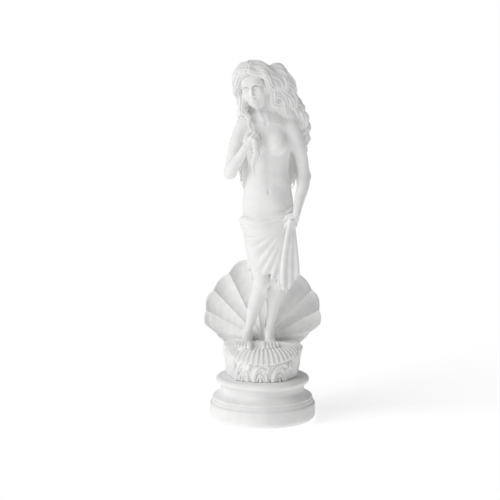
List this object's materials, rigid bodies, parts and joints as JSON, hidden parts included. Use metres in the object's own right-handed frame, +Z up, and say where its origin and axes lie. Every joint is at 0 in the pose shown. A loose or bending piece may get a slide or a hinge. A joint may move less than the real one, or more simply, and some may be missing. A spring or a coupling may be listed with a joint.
{
  "type": "aphrodite statue",
  "caption": "Cast plaster statuette of Aphrodite in a hip robe, standing before a scallop shell on a wave block, on a round moulded plinth.",
  "frame": {"origin": "middle of the plinth's underside, on its turning axis", "axes": "+Z up; the plinth, the shell and the fan of ribs face -Y; +X is the viewer's right"},
  "size_m": [0.0978, 0.087, 0.296],
  "materials": {
    "plaster": "matt white cast gypsum plaster"
  },
  "bodies": {
    "root": {"statuette": "plaster", "plinth": "plaster"}
  },
  "joints": []
}
